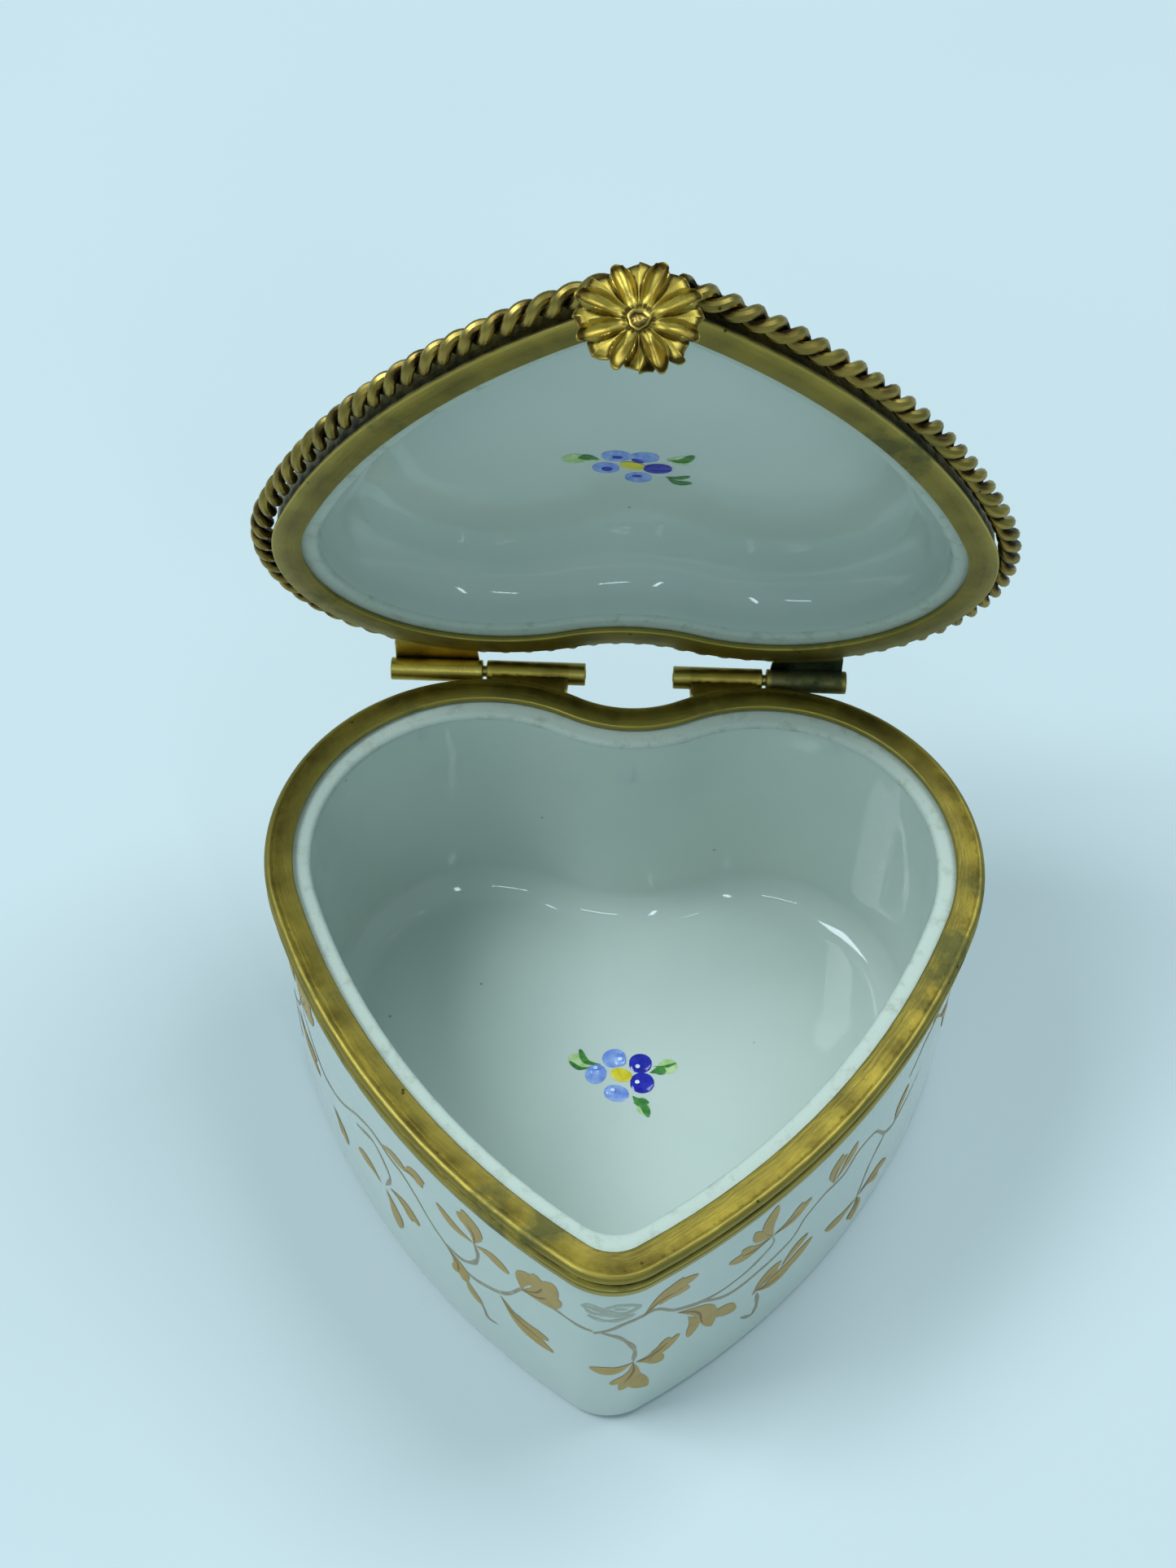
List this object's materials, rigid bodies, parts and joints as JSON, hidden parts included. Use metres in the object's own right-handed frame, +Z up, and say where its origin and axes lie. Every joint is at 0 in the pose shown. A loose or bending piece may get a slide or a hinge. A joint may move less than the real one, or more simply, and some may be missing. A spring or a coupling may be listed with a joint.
{
  "type": "hinged trinket box",
  "caption": "Heart-shaped porcelain trinket box: hinged domed lid in a gilt brass bezel with a twisted rope edge and daisy clasp, and a deep bowl in a beaded brass bezel.",
  "frame": {"origin": "on the flat underside of the bowl, on the line through the centres of the heart's two lobes", "axes": "+Z up, +Y towards the hinges, -Y towards the heart's point, +X to the right seen from the front"},
  "size_m": [0.0618, 0.0635, 0.0867],
  "materials": {
    "porcelain": "white glazed porcelain, matt at the lip",
    "bezel_brass": "worn gilt brass, brushed, with brown and grey-green patina",
    "rope_brass": "twisted brass wire, dark between the strands",
    "rosette_brass": "bright stamped gilt brass",
    "pin_brass": "drawn brass wire, dull"
  },
  "bodies": {
    "base": {"porcelain_bowl": "porcelain", "base_bezel": "bezel_brass", "base_knuckle_left": "bezel_brass", "base_knuckle_right": "bezel_brass", "hinge_pin_left": "pin_brass", "hinge_pin_right": "pin_brass"},
    "lid": {"porcelain_lid": "porcelain", "lid_bezel": "bezel_brass", "rope_wire_a": "rope_brass", "rope_wire_b": "rope_brass", "lid_knuckle_left": "bezel_brass", "lid_knuckle_right": "bezel_brass", "clasp_rosette": "rosette_brass", "clasp_rivet": "rosette_brass", "clasp_tongue": "bezel_brass"}
  },
  "joints": [
    {"name": "lid_hinge", "type": "hinge", "parent": "base", "child": "lid", "pos_m": [0, 0.0191, 0.02877], "axis": [-1, 0, 0], "range_deg": [-75.5, 24.5]}
  ]
}
